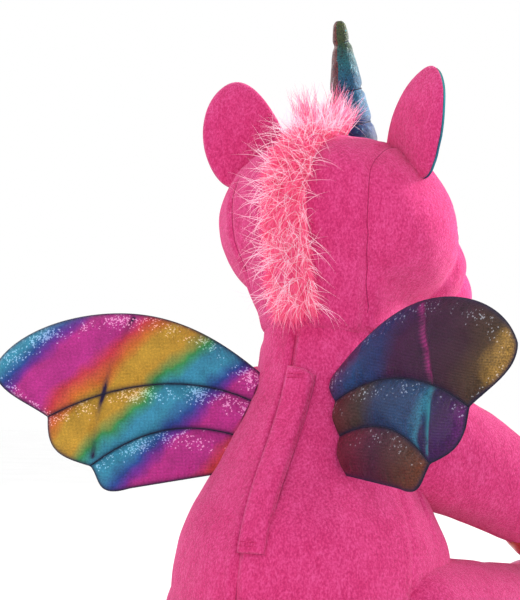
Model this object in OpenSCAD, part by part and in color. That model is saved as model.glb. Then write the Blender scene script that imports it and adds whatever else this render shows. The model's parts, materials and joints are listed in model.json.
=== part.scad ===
/* [Body] */
// Widest radius of the torso
belly_r = 73; // [70:1:76]
// Radius of the flat seat
seat_r = 60; // [56:1:62]
// Radius at the neck crease
neck_r = 35; // [34:1:36]
// Height of the torso's top, along its axis
torso_h = 191; // [188:1:194]
// Forward lean of the torso, in degrees
lean = 9.5; // [8:0.5:11]
// Thickness of the plush fabric
fabric = 1.8; // [1.2:0.1:2.2]
// Gap between a skin and the stuffing under it
gap = 0.3; // [0.2:0.1:0.5]

/* [Neck and head] */
// Height of the neck ball's centre, along the torso's axis
neck_ball_h = 178; // [176:1:180]
// Radius of the neck ball
neck_ball_r = 40; // [39:0.5:41]
// Centre of the head: forward and up
head_at = [0, -47, 250];
// Half width, half length and half height of the head
head_size = [69, 62, 50];
// Downward tilt of the head's long axis, in degrees
head_tilt = 30; // [25:1:35]
// Centre of the muzzle
muzzle_at = [0, -105, 215];
// Half width, half length and half height of the muzzle
muzzle_size = [51, 35, 33];
// Half width of the panel down the back of the head
gusset_w = 33; // [32:1:34]
// Width of the mane's backing strip
mane_w = 26; // [20:1:30]
// Thickness of the mane's pile
mane_pile = 11; // [8:1:14]
// Direction of each eye outward from straight ahead, in degrees
eye_turn = 46; // [40:1:50]
// Radius of each eye
eye_r = 11; // [9:0.5:12]

/* [Horn] */
// Radius of the horn's base
horn_r = 13.5; // [12:0.5:14]
// Length of the horn
horn_l = 67; // [60:1:70]
// Backward lean of the horn, in degrees
horn_lean = 13; // [5:0.5:16]

/* [Ears] */
// Middle of the left ear's base
ear_at = [44.5, -29, 289.5];
// Turn that stands the left ear up from the head
ear_turn = [100, 31, 27.7];
// Height of an ear above its base
ear_l = 50; // [46:1:54]
// Half width of an ear at its base
ear_w = 24; // [20:1:26]
// Fold of an ear each way, in degrees
ear_fold = 20; // [10:1:20]

/* [Wings] */
// Top of the left wing's root seam
wing_at = [27.4, 2.6, 173];
// Sweep of the left and the right wing to the back, in degrees
wing_sweep = [24, 26];
// Forward lean of the wings, in degrees
wing_lean = 12; // [10:1:14]
// Span of a wing from its root
wing_span = 144; // [130:1:150]
// Rise of the left and the right wing's tip, in degrees
wing_raise = [0, 4];
// Thickness of a padded wing
wing_t = 8; // [6:0.5:9]

/* [Arms and legs] */
// Centre of the left shoulder
shoulder_at = [42, -35, 145];
// Direction of the left arm
arm_dir = [0.41, -0.80, -0.43];
// Shoulder radius and wrist radius
arm_r = [30, 25];
// Length from the shoulder's centre to the hoof's end
arm_l = 128; // [120:1:129]
// Centre of the left hip
hip_at = [58, -20, 37.5];
// Direction of the left leg
leg_dir = [0.12, -0.992, -0.035];
// Hip radius and ankle radius
leg_r = [34, 27.5];
// Length from the hip's centre to the sole
leg_l = 140; // [125:1:145]
// Length of a hoof
hoof_l = 24; // [20:1:28]

/* [Back closure and tail] */
// Width of the closure strip
strip_w = 15; // [13:1:16]
// Lower and upper end of the strip, along the torso's axis
strip_h = [67, 170];
// Root of the tail
tail_at = [0, 73, 26];
// Length of the tail
tail_l = 78; // [60:1:90]

/* [Hidden] */
$fn = 64;
pink = "#f03a90";
coral = "#f87fa6";
rainbow = "#9a4fc0";
teal = "#1f8fa8";
fibre = "#f4f2ee";
thread = "#101018";
clear = 0.7;            // clearance of a limb in its socket
sweep_more = 0.4;       // extra width of an arm's swept room
sweep_less = 0.3;       // a leg's swept room is this much narrower than its tube
arm_swing = [0, 30];    // degrees, down and up
leg_spread = [-8, 25];  // degrees, in and out

// ---- curves ----
function bezier(p, t) = pow(1 - t, 3) * p[0] + 3 * pow(1 - t, 2) * t * p[1]
    + 3 * (1 - t) * t * t * p[2] + pow(t, 3) * p[3];
function curve(p, n, from = 0) = [for (i = [from:n]) bezier(p, i / n)];
function reversed(p) = [for (i = [len(p) - 1:-1:0]) p[i]];
function normal_at(p, i) = let (t = p[min(i + 1, len(p) - 1)] - p[max(i - 1, 0)])
    [t[1], -t[0]] / norm(t);
function grown(p, d) = [for (i = [0:len(p) - 1]) p[i] + d * normal_at(p, i)];
function inset(p, d) = [for (i = [0:len(p) - 1])
    let (t = p[(i + 1) % len(p)] - p[(i + len(p) - 1) % len(p)])
    p[i] + d * [t[1], -t[0]] / norm(t)];

// ---- torso: a pear shape turned about a leaning axis ----
torso_outline = concat(
    [[seat_r - 10, -16]],
    curve([[seat_r, 0], [seat_r + 8, 12], [belly_r, 30], [belly_r, 50]], 4),
    curve([[belly_r, 50], [belly_r + 2, 110], [neck_r + 3, 126], [neck_r, torso_h]], 10, 1));

module leaning() rotate([lean, 0, 0]) children();
module above(h) translate([-200, -200, h]) cube(400);
module torso(grow = 0) leaning() rotate_extrude()
    polygon(concat([[0, -16]], grown(torso_outline, grow), [[0, torso_h]]));
// a layer of the torso between two offsets, over a sector from the left round the back
module torso_layer(inner, outer, start, sweep) leaning() rotate([0, 0, start])
    rotate_extrude(angle = sweep)
    polygon(concat(grown(torso_outline, outer), reversed(grown(torso_outline, inner))));

// ---- limbs: each lies along +Z from its joint's centre ----
function limb_outline(r, l, grow) = concat(
    [for (a = [-90:15:-5]) (r[0] + grow) * [cos(a), sin(a)]],
    [[r[0] + grow, 0], [r[1] + grow, l - hoof_l]],
    [[r[1] + grow + 1.5, l - hoof_l + 3], [r[1] + grow + 3, l - 9], [r[1] + grow + 1.5, l - 3 + grow],
        [r[1] + grow - 4, l + grow]]);
module limb(r, l, grow = 0) rotate_extrude()
    polygon(concat(limb_outline(r, l, grow), [[0, l + grow]]));
module limb_shell(r, l) difference() {
    limb(r, l);
    limb(r, l, -fabric);
}
module limb_skin(r, l) difference() {
    limb_shell(r, l);
    above(l - hoof_l);
}
module limb_hoof(r, l) intersection() {
    limb_shell(r, l);
    above(l - hoof_l);
}
module toward(dir) rotate([0, acos(dir[2] / norm(dir)), atan2(dir[1], dir[0])]) children();
module arm_place(turn = 0) translate(shoulder_at) rotate([-turn, 0, 0]) toward(arm_dir) children();
module leg_place(turn = 0) translate(hip_at) rotate([0, 0, turn]) toward(leg_dir) children();

// a plain ball and tube that hold a limb with room to spare
module tube_room(r, l) {
    sphere(r);
    cylinder(r = r, h = l);
}
// the room that an arm takes as it swings about the left-right axis
module arm_room() {
    rest = atan2(arm_dir[1], -arm_dir[2]);
    along = arm_dir[0];
    out = sqrt(1 - along * along);
    r = arm_r[0] + clear;
    side = [along, -out] * (r + sweep_more);
    for (turn = arm_swing) arm_place(turn) tube_room(r, arm_l);
    translate(shoulder_at) rotate([0, 90, 0]) rotate([0, 0, rest - arm_swing[1]])
        rotate_extrude(angle = arm_swing[1] - arm_swing[0]) intersection() {
            polygon([side, side + arm_l * [out, along], -side + arm_l * [out, along], -side]);
            translate([0, -200]) square(400);
        }
}
// the room that a leg takes as it spreads about the vertical axis
module leg_room() {
    rest = atan2(leg_dir[1], leg_dir[0]);
    r = leg_r[0] + clear;
    for (turn = leg_spread) translate(hip_at) rotate([0, 0, turn + rest]) rotate([0, 90, 0])
        tube_room(r, leg_l);
    translate(hip_at) rotate([0, 0, rest + leg_spread[0]])
        rotate_extrude(angle = leg_spread[1] - leg_spread[0])
        translate([0, -r + sweep_less]) square([leg_l, 2 * (r - sweep_less)]);
}
module both_sides() {
    children();
    mirror([1, 0, 0]) children();
}
module limb_rooms() both_sides() {
    arm_room();
    leg_room();
}
module body_skin(start, sweep) color(pink) difference() {
    intersection() {
        torso_layer(-fabric, 0, start, sweep);
        above(fabric);
    }
    limb_rooms();
}
module back_panel_left() body_skin(12, 78);
module back_panel_right() body_skin(90, 78);
module belly_panel() body_skin(168, 204);
module seat_base() color(pink) difference() {
    intersection() {
        torso();
        above(0);
    }
    above(fabric);
}
module body_stuffing() color(fibre) difference() {
    intersection() {
        torso(-fabric - gap);
        above(fabric + gap);
    }
    limb_rooms();
}

// ---- back closure: a strip of hook-and-loop tape under a stitched flap ----
module strip(inner, outer, left, right, margin = 0) intersection() {
    torso_layer(inner, outer, 60, 80);
    leaning() translate([left, 0, strip_h[0] + margin])
        cube([right - left, 200, strip_h[1] - strip_h[0] - 2 * margin]);
}
module loop_tape() color(thread) strip(0, 0.8, 3.5 - strip_w, -1, 3);
module hook_tape() color(thread) strip(1.1, 1.9, 3.5 - strip_w, -1, 3);
module flap_hem() color(pink) strip(0, 3.6, -strip_w, 2.2 - strip_w);
module closure_flap() color(pink) strip(1.9, 3.6, 2.6 - strip_w, 0);

// ---- neck ----
module neck_ball(grow = 0) leaning() translate([0, 0, neck_ball_h]) sphere(neck_ball_r + grow);
module neck_core(r, bottom) intersection() {
    leaning() translate([0, 0, bottom]) cylinder(r = r, h = 40);
    neck_ball();
}
module neck_band() color(pink) difference() {
    neck_core(neck_r, torso_h + gap);
    leaning() cylinder(r = neck_r - fabric, h = 300);
}
module neck_stuffing() color(fibre) neck_core(neck_r - fabric - gap, torso_h + gap);

// ---- head ----
module oval(size) scale(size) sphere(1, $fn = 96);
module head_oval(grow = 0) translate(head_at) rotate([head_tilt, 0, 0])
    oval(head_size + grow * [1, 1, 1]);
module head_stump(grow = 0) leaning() rotate_extrude() polygon(concat([[0, 193]],
    grown([[neck_r + 1, 193], [neck_r + 4, 205], [neck_r + 11, 219], [neck_r + 14, 231],
        [neck_r + 8, 243]], grow), [[0, 248]]));
module head(grow = 0) difference() {
    union() {
        head_oval(grow);
        head_stump(grow);
    }
    neck_ball(0.4);
    if (grow < 1) horn_place() sphere(horn_r + 0.4);
}
module muzzle(grow = 0) translate(muzzle_at) oval(muzzle_size + grow * [1, 1, 1]);
// a point on the head's oval, and the outward direction there
function eye_ray() = [sin(eye_turn), -cos(eye_turn), -0.04];
function tilted(v, a) = [v[0], v[1] * cos(a) - v[2] * sin(a), v[1] * sin(a) + v[2] * cos(a)];
function over(v, s) = [v[0] / s[0], v[1] / s[1], v[2] / s[2]];
function eye_local() = let (d = tilted(eye_ray(), -head_tilt)) d / norm(over(d, head_size));
function eye_at() = head_at + tilted(eye_local(), head_tilt);
function eye_normal() = tilted(over(over(eye_local(), head_size), head_size), head_tilt);
module eye_place() translate(eye_at()) toward(eye_normal()) children();
module eye_holes() both_sides() eye_place() translate([0, 0, -20]) cylinder(r = 2.8, h = 24);

module head_skin() color(pink) difference() {
    intersection() {
        difference() {
            head();
            head(-fabric);
        }
        children();
    }
    eye_holes();
}
seam_y = -55;           // the seam over the top of the head, from ear to ear
module head_region(left, right, behind) translate([left, behind ? seam_y : seam_y - 200, 150])
    cube([right - left, 200, 200]);
module head_back_panel() head_skin() head_region(-gusset_w, gusset_w, true);
module head_side_left() head_skin() head_region(gusset_w, 100, true);
module head_side_right() head_skin() head_region(-100, -gusset_w, true);
module face_panel() head_skin() head_region(-100, 100, false);
module head_stuffing() color(fibre) difference() {
    head(-fabric - gap);
    both_sides() eye_place() translate([0, 0, -20]) cylinder(r = 8, h = 24);
    horn_place() sphere(horn_r + 2.5);
}
module muzzle_cover() color(pink) difference() {
    difference() {
        muzzle();
        head_oval(0.1);
    }
    muzzle(-fabric);
}
module muzzle_stuffing() color(fibre) difference() {
    muzzle(-fabric - gap);
    head_oval(gap);
}
module eye() color(teal) {
    translate([0, 0, 0.3]) intersection() {
        oval([eye_r, eye_r, 6]);
        cylinder(r = 20, h = 20);
    }
    translate([0, 0, -15]) cylinder(r = 2.4, h = 15.5);
}
module eye_left() eye_place() eye();
module eye_right() mirror([1, 0, 0]) eye_place() eye();
module eye_washers() color(fibre) both_sides() eye_place() translate([0, 0, -8]) difference() {
    cylinder(r = 7, h = 1.6);
    translate([0, 0, -1]) cylinder(r = 2.45, h = 4);
}
// stitching that stands a little proud of the muzzle
module on_muzzle() intersection() {
    difference() {
        muzzle(0.8);
        muzzle(0);
        head_oval(0.3);
    }
    children();
}
module nostril_stitches() color(thread) on_muzzle() both_sides()
    translate([15, -110, 229]) rotate([90, 0, 0]) scale([1.5, 1, 1]) cylinder(r = 2.6, h = 60);
module mouth_stitch() color(thread) on_muzzle() translate([0, -110, 223]) rotate([90, 0, 0])
    difference() {
        cylinder(r = 21, h = 60);
        translate([0, 0, -1]) cylinder(r = 19.6, h = 62);
        translate([-30, -8, -1]) cube([60, 60, 62]);
    }
module mane_layer(inner, outer, width) intersection() {
    difference() {
        head(outer);
        head(inner);
    }
    translate([-width / 2, horn_at[1] + horn_r + 10, 205]) cube([width, 120, 150]);
}
module mane_backing() color(coral) mane_layer(0, 1.2, mane_w);
module mane_fur() color(coral) mane_layer(1.2, mane_pile, mane_w + 4);

// ---- horn: a stuffed cone on a ball base, bound with threads ----
horn_at = [0, -61.5, 303];
module horn_place() translate(horn_at) rotate([-horn_lean, 0, 0]) children();
function horn_outline(grow) = concat(
    [for (a = [-90:18:-5]) (horn_r + grow) * [cos(a), sin(a)]],
    [[horn_r + grow, 0], [2.6 + grow, horn_l - 3], [1.6 + grow, horn_l - 0.8 + grow]]);
module horn_solid(grow = 0) rotate_extrude()
    polygon(concat(horn_outline(grow), [[0, horn_l + grow]]));
module horn_cover() color(teal) horn_place() difference() {
    horn_solid();
    horn_solid(-1);
}
module horn_stuffing() color(fibre) horn_place() horn_solid(-1.2);
// threads drawn tight round the cone
thread_at = [8, 27, 54];
module horn_thread() color(thread) horn_place() for (z = thread_at) rotate_extrude()
    translate([horn_r + (2.6 - horn_r) * z / (horn_l - 3) + 0.75, z]) circle(0.5);

// ---- ears ----
ear_outline = concat(
    curve([[-ear_w, -4], [-ear_w - 6, 0.55 * ear_l], [-ear_w - 2, ear_l], [-11, ear_l]], 8),
    curve([[-11, ear_l], [6, ear_l], [ear_w - 2, 0.5 * ear_l], [ear_w, -4]], 10, 1));
cup_r = 80;             // radius of an ear's hollow front
module ear_place() translate(ear_at) rotate(ear_turn) children();
// the head's oval as an ear meets it when folded by an angle
module head_seen(fold) ear_place() rotate([fold - ear_turn[0], 0, 0]) rotate([0, -ear_turn[1], 0])
    rotate([0, 0, -ear_turn[2]]) translate(-ear_at) head_oval(0.8);
module ear_layer(outer, inner, edge) difference() {
    ear_place() intersection() {
        translate([0, ear_l / 2, cup_r]) difference() {
            sphere(outer);
            sphere(inner);
        }
        translate([0, 0, -20]) linear_extrude(40) polygon(inset(ear_outline, edge));
    }
    for (fold = [-ear_fold, 0, ear_fold]) head_seen(fold);
}
module ear_outer() color(pink) ear_layer(cup_r, cup_r - 2.5, 0);
module ear_lining() color(teal) ear_layer(cup_r - 2.6, cup_r - 4, 1.5);
module ear_left_outer() ear_outer();
module ear_left_lining() ear_lining();
module ear_right_outer() mirror([1, 0, 0]) ear_outer();
module ear_right_lining() mirror([1, 0, 0]) ear_lining();

// ---- wings: three scalloped lobes, two covers sewn at the rim over padding ----
k = wing_span / 144;
wing_outline = concat(
    k * curve([[0, 0], [26, 22], [47, 31], [75, 31]], 8),
    k * curve([[75, 31], [104, 31], [133, 20], [143, 2]], 8, 1),
    k * curve([[143, 2], [145, -12], [125, -18], [112, -27]], 6, 1),
    k * curve([[112, -27], [112, -46], [105, -49], [87, -54]], 7, 1),
    k * curve([[87, -54], [81, -61], [84, -72], [65, -66]], 6, 1),
    k * [[25, -55]]);
module wing_place(side) translate(wing_at) rotate([90 + wing_lean, 0, wing_sweep[side]])
    rotate([0, 0, wing_raise[side]]) children();
// half of a wing's case: a sheet with a rim that meets the other half
module wing_case() difference() {
    linear_extrude(wing_t / 2) polygon(wing_outline);
    translate([0, 0, -1]) linear_extrude(wing_t / 2) polygon(inset(wing_outline, -1));
}
module wing_front(side) color(rainbow) wing_place(side) wing_case();
module wing_back(side) color(rainbow) wing_place(side) mirror([0, 0, 1]) wing_case();
module wing_padding(side) color(fibre) wing_place(side) translate([0, 0, 1 + gap - wing_t / 2])
    linear_extrude(wing_t - 2 - 2 * gap) polygon(inset(wing_outline, -1 - gap));
module wing_left_front_cover() wing_front(0);
module wing_left_back_cover() wing_back(0);
module wing_left_padding() wing_padding(0);
module wing_right_front_cover() mirror([1, 0, 0]) wing_front(1);
module wing_right_back_cover() mirror([1, 0, 0]) wing_back(1);
module wing_right_padding() mirror([1, 0, 0]) wing_padding(1);

// ---- arms and legs ----
module arm_skin() color(pink) arm_place() limb_skin(arm_r, arm_l);
module arm_stuffing() color(fibre) arm_place() limb(arm_r, arm_l, -fabric - gap);
module arm_hoof() color(teal) arm_place() limb_hoof(arm_r, arm_l);
module arm_left_skin() arm_skin();
module arm_left_stuffing() arm_stuffing();
module arm_left_hoof() arm_hoof();
module arm_right_skin() mirror([1, 0, 0]) arm_skin();
module arm_right_stuffing() mirror([1, 0, 0]) arm_stuffing();
module arm_right_hoof() mirror([1, 0, 0]) arm_hoof();
sole_r = leg_r[1] - 4;
module leg_skin() color(pink) leg_place() limb_skin(leg_r, leg_l);
module leg_stuffing() color(fibre) leg_place() limb(leg_r, leg_l, -fabric - gap);
module leg_hoof() color(teal) leg_place() difference() {
    limb_hoof(leg_r, leg_l);
    translate([0, 0, leg_l - fabric]) cylinder(r = sole_r, h = 10);
}
module leg_sole() color(rainbow) leg_place() translate([0, 0, leg_l - fabric])
    cylinder(r = sole_r - 0.1, h = fabric);
module leg_left_skin() leg_skin();
module leg_left_stuffing() leg_stuffing();
module leg_left_hoof() leg_hoof();
module leg_left_sole() leg_sole();
module leg_right_skin() mirror([1, 0, 0]) leg_skin();
module leg_right_stuffing() mirror([1, 0, 0]) leg_stuffing();
module leg_right_hoof() mirror([1, 0, 0]) leg_hoof();
module leg_right_sole() mirror([1, 0, 0]) leg_sole();

// ---- tail: a plume that rests on the floor behind ----
module tail_core(r) translate(tail_at) rotate([-90, 0, 0]) translate([0, 0, -4.5])
    cylinder(r = r, h = 20);
module tail_backing() color(coral) tail_core(5);
module tail_fur() color(coral) difference() {
    translate(tail_at + [0, tail_l / 2 - 1, -9.5]) rotate([-6, 0, 0]) oval([16, tail_l / 2, 13]);
    tail_core(5 + gap);
}

back_panel_left();
back_panel_right();
belly_panel();
seat_base();
body_stuffing();
loop_tape();
flap_hem();
closure_flap();
hook_tape();
neck_band();
neck_stuffing();
head_back_panel();
head_side_left();
head_side_right();
face_panel();
muzzle_cover();
head_stuffing();
muzzle_stuffing();
eye_left();
eye_right();
eye_washers();
nostril_stitches();
mouth_stitch();
mane_backing();
mane_fur();
ear_left_outer();
ear_left_lining();
ear_right_outer();
ear_right_lining();
horn_cover();
horn_stuffing();
horn_thread();
wing_left_back_cover();
wing_left_front_cover();
wing_left_padding();
wing_right_back_cover();
wing_right_front_cover();
wing_right_padding();
arm_left_skin();
arm_left_stuffing();
arm_left_hoof();
arm_right_skin();
arm_right_stuffing();
arm_right_hoof();
leg_left_skin();
leg_left_stuffing();
leg_left_hoof();
leg_left_sole();
leg_right_skin();
leg_right_stuffing();
leg_right_hoof();
leg_right_sole();
tail_backing();
tail_fur();
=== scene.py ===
"""Looks of the seated plush unicorn: brushed pile, fur, padded foil wings, wound horn and stitching.

Lengths inside the making functions are millimetres in the CAD frame; make() turns them into metres.
The face looks along -Y, and the unicorn's left is +X.
"""
import json
import math
import random

import bmesh
import bpy
import numpy as np
from mathutils import Matrix, Vector, noise
from mathutils.bvhtree import BVHTree


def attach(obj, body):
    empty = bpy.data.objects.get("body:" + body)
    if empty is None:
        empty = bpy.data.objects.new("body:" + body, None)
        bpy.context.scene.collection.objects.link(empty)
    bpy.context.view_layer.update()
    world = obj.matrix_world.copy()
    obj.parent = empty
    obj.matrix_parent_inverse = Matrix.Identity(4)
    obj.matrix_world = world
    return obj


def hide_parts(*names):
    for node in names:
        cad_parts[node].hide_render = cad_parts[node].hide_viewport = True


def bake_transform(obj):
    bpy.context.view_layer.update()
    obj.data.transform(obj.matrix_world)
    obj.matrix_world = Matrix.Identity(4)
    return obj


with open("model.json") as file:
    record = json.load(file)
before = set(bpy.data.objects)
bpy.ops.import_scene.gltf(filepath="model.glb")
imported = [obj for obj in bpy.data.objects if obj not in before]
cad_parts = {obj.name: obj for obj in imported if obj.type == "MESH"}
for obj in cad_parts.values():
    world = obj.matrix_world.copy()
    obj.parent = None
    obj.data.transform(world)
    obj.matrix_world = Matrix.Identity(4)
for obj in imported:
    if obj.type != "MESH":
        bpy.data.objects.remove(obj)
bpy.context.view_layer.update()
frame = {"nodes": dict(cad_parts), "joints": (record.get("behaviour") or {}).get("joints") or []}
MM = 0.001
JOINTS = {j["name"]: j for j in frame["joints"]}


# ---------- small maths ----------
def vec(*v):
    return np.array(v, float)


def unit(v):
    return np.asarray(v, float) / np.linalg.norm(v)


def turn(axis, degrees):
    return np.array(Matrix.Rotation(math.radians(degrees), 3, axis))


def bezier(points, count):
    """Points along a cubic curve, both ends included."""
    p = np.array(points, float)
    t = np.linspace(0, 1, count + 1)[:, None]
    return (1 - t) ** 3 * p[0] + 3 * (1 - t) ** 2 * t * p[1] + 3 * (1 - t) * t * t * p[2] + t ** 3 * p[3]


def joined(*runs):
    """One run of points from several that meet end to end."""
    out = [np.asarray(runs[0], float)]
    for run in runs[1:]:
        out.append(np.asarray(run, float)[1:])
    return np.vstack(out)


def spread_evenly(points, count):
    """The same path as count + 1 evenly spaced points."""
    p = np.asarray(points, float)
    run = np.concatenate([[0], np.cumsum(np.linalg.norm(np.diff(p, axis=0), axis=1))])
    want = np.linspace(0, run[-1], count + 1)
    return np.stack([np.interp(want, run, p[:, k]) for k in range(p.shape[1])], axis=1)


def distance_to(points, path):
    """Distance of each point to a path of points."""
    a, b = path[:-1], path[1:]
    best = np.full(len(points), 1e9)
    for p, q in zip(a, b):
        d = q - p
        t = np.clip((points - p) @ d / max(d @ d, 1e-9), 0, 1)
        best = np.minimum(best, np.linalg.norm(points - (p + t[:, None] * d), axis=1))
    return best


def bell(offset, width):
    """1 where the offset is 0, falling off smoothly over a width."""
    return np.exp(-((offset / width) ** 2))


def joint_at(name):
    return vec(*JOINTS[name]["pos_m"]) / MM


# ---------- driving shapes, in millimetres ----------
LEAN = turn("X", 9.5)
TORSO_TOP = 191.0
NECK_R = 35.0
BELLY_R = 73.0
HEAD_AT = vec(0, -45.5, 250)
HEAD_SIZE = vec(69, 62, 50)
HEAD_TURN = turn("X", 30)
MUZZLE_AT = vec(0, -105, 215)
MUZZLE_SIZE = vec(51, 35, 33)
HORN_AT = joint_at("horn_bend")
ARM_DIR = unit([0.41, -0.80, -0.43])
LEG_DIR = unit([0.12, -0.992, -0.035])
ARM_R, ARM_L = (30.0, 25.0), 128.0
LEG_R, LEG_L = (34.0, 27.5), 140.0
HOOF_L = 24.0
STRIP_H = (67.0, 170.0)
FAR = 99.0              # a distance at which a seam presses nothing in
SEAM_Y = -55.0          # seam over the top of the head


# the bodies that a skin over the neck spans: the body below, the one above, and where the bend starts and
# ends; tie() only bakes such a skin's placement
BODY_TO_NECK = ("body", "neck", LEAN @ vec(0, 0, 181) * MM, LEAN @ vec(0, 0, 192) * MM)
NECK_TO_HEAD = ("neck", "head", vec(0, -32, 197) * MM, vec(0, -38, 226) * MM)


# ---------- making meshes ----------
def make(name, verts, faces, smooth=True):
    """A mesh object from points in millimetres."""
    mesh = bpy.data.meshes.new(name)
    mesh.from_pydata((np.asarray(verts, float) * MM).tolist(), [], [list(map(int, f)) for f in faces])
    mesh.update()
    mesh.validate()
    if smooth:
        mesh.shade_smooth()
    obj = bpy.data.objects.new(name, mesh)
    bpy.context.scene.collection.objects.link(obj)
    return obj


def points_of(obj):
    """A mesh's points in millimetres."""
    co = np.empty(len(obj.data.vertices) * 3, np.float32)
    obj.data.vertices.foreach_get("co", co)
    return co.reshape(-1, 3).astype(float) / MM


def normals_of(obj):
    no = np.empty(len(obj.data.vertices) * 3, np.float32)
    obj.data.vertex_normals.foreach_get("vector", no)
    return no.reshape(-1, 3).astype(float)


def set_points(obj, points):
    obj.data.vertices.foreach_set("co", (np.asarray(points) * MM).astype(np.float32).ravel())
    obj.data.update()


def apply_modifiers(obj):
    depsgraph = bpy.context.evaluated_depsgraph_get()
    mesh = bpy.data.meshes.new_from_object(obj.evaluated_get(depsgraph))
    obj.modifiers.clear()
    obj.data = mesh
    obj.data.shade_smooth()
    return obj


def faced(faces, side):
    """The faces as they are on the left, turned over for the mirrored right."""
    return [f[::-1] for f in faces] if side < 0 else faces


def write_vectors(obj, label, columns):
    """Stores three numbers at each point for a material to read."""
    layer = obj.data.attributes.new(label, "FLOAT_VECTOR", "POINT")
    layer.data.foreach_set("vector", np.column_stack(columns).astype(np.float32).ravel())


def sealed(obj, weld=0.0):
    """Turns all faces outward, after welding points closer than weld metres."""
    bm = bmesh.new()
    bm.from_mesh(obj.data)
    if weld:
        bmesh.ops.remove_doubles(bm, verts=bm.verts, dist=weld)
    bmesh.ops.recalc_face_normals(bm, faces=bm.faces)
    bm.to_mesh(obj.data)
    bm.free()
    obj.data.shade_smooth()
    return obj


def grid_faces(rows, cols, wrap=True, start=0):
    """Quads over rows x cols points."""
    faces = []
    span = cols if wrap else cols - 1
    for i in range(rows - 1):
        for j in range(span):
            a, b = start + i * cols + j, start + i * cols + (j + 1) % cols
            faces.append((a, b, b + cols, a + cols))
    return faces


def capped_faces(rows, cols):
    """Quads round a closed tube of rows x cols points, with one face over each end."""
    last = (rows - 1) * cols
    return grid_faces(rows, cols) + [tuple(range(cols))[::-1], tuple(last + k for k in range(cols))]


def revolve(profile, steps=72):
    """Closed solid of revolution about Z from (radius, height) points, low end first."""
    profile = np.asarray(profile, float)
    a = np.linspace(0, 2 * math.pi, steps, endpoint=False)
    rings = [np.stack([r * np.cos(a), r * np.sin(a), np.full(steps, h)], 1) for r, h in profile]
    verts = np.vstack(rings + [[[0, 0, profile[0][1]], [0, 0, profile[-1][1]]]])
    faces = grid_faces(len(profile), steps)
    low, high, last = len(verts) - 2, len(verts) - 1, (len(profile) - 1) * steps
    for j in range(steps):
        k = (j + 1) % steps
        faces.append((low, k, j))
        faces.append((high, last + j, last + k))
    return verts, faces


def oval(size, steps=48):
    a = np.linspace(-90, 90, steps // 2 + 1)[1:-1]
    profile = [(math.cos(math.radians(d)), math.sin(math.radians(d))) for d in a]
    verts, faces = revolve(profile, steps)
    verts[-2], verts[-1] = (0, 0, -1), (0, 0, 1)
    return verts * size, faces


def stand(direction):
    """A 3x3 turn that takes +Z to a direction."""
    return np.array(Vector((0, 0, 1)).rotation_difference(Vector(direction)).to_matrix())


def mirrored(points):
    return np.asarray(points, float) * [-1, 1, 1]


def tube(path, radius, sides=8, taper=None):
    """Points and faces of a round tube along a path, closed at its ends."""
    path = np.asarray(path, float)
    verts = []
    for i, p in enumerate(path):
        along = unit(path[min(i + 1, len(path) - 1)] - path[max(i - 1, 0)])
        side = np.cross(along, [0.13, 0.21, 0.97])
        if np.linalg.norm(side) < 1e-3:
            side = np.cross(along, [1, 0, 0])
        side = unit(side)
        up = np.cross(along, side)
        r = radius * (taper(i / (len(path) - 1)) if taper else 1)
        for k in range(sides):
            a = 2 * math.pi * k / sides
            verts.append(p + r * (math.cos(a) * side + math.sin(a) * up))
    return np.array(verts), capped_faces(len(path), sides)


def merged(parts):
    """Several (verts, faces) as one."""
    verts, faces, n = [], [], 0
    for v, f in parts:
        verts.append(np.asarray(v, float))
        faces += [tuple(i + n for i in face) for face in f]
        n += len(v)
    return np.vstack(verts), faces


def soft_union(name, parts, voxel, smooth):
    """One closed skin round several closed solids, with its creases softened."""
    obj = make(name, *merged(parts))
    remesh = obj.modifiers.new("skin", "REMESH")
    remesh.mode = "VOXEL"
    remesh.voxel_size = voxel * MM
    relax = obj.modifiers.new("relax", "SMOOTH")
    relax.factor = 0.5
    relax.iterations = smooth
    return apply_modifiers(obj)


def lumps(obj, amount, scale, seed=0.0):
    """Soft unevenness of stuffing: moves the surface in and out a little."""
    co, no = points_of(obj), normals_of(obj)
    shift = Vector((seed, 2 * seed, 3 * seed))
    move = np.array([noise.noise(Vector(p) / scale + shift) for p in co])
    set_points(obj, co + no * (move * amount)[:, None])


def groove(obj, distance, depth, width):
    """Presses a seam into the surface: distance is each point's distance from it."""
    co, no = points_of(obj), normals_of(obj)
    swell = bell(distance - 2.2 * width, 1.5 * width)
    press = depth * bell(distance, width) - 0.35 * depth * swell
    set_points(obj, co - no * press[:, None])


def tie(obj, body):
    """Ties a piece to one CAD body; a piece given the two bodies that it spans only has its placement baked
    into its points.
    """
    if isinstance(body, tuple):
        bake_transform(obj)
    else:
        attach(obj, body)


def finish_piece(obj, name, body, material, replaces=()):
    """Names a piece, gives it its material, and ties it to a CAD body."""
    obj.name = name
    obj.data.name = name
    obj.data.materials.clear()
    for m in material if isinstance(material, list) else [material]:
        obj.data.materials.append(m)
    tie(obj, body)
    if replaces:
        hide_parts(*replaces)


# ---------- materials ----------
class Signal:
    """A number or colour inside a material, which can be added to, scaled and compared."""

    def __init__(self, paint, socket):
        self.paint = paint
        self.socket = socket

    def math(self, kind, other=None):
        n = self.paint.node("Math")
        n.operation = kind
        self.paint.plug(self, n.inputs[0])
        if other is not None:
            self.paint.plug(other, n.inputs[1])
        return Signal(self.paint, n.outputs[0])

    def __add__(self, other):
        return self.math("ADD", other)

    def __sub__(self, other):
        return self.math("SUBTRACT", other)

    def __mul__(self, other):
        return self.math("MULTIPLY", other)

    def over(self, level):
        """1 where it is greater than a level, 0 elsewhere."""
        return self.math("GREATER_THAN", level)

    def least(self, low):
        return self.math("MAXIMUM", low)

    def most(self, high):
        return self.math("MINIMUM", high)


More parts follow.
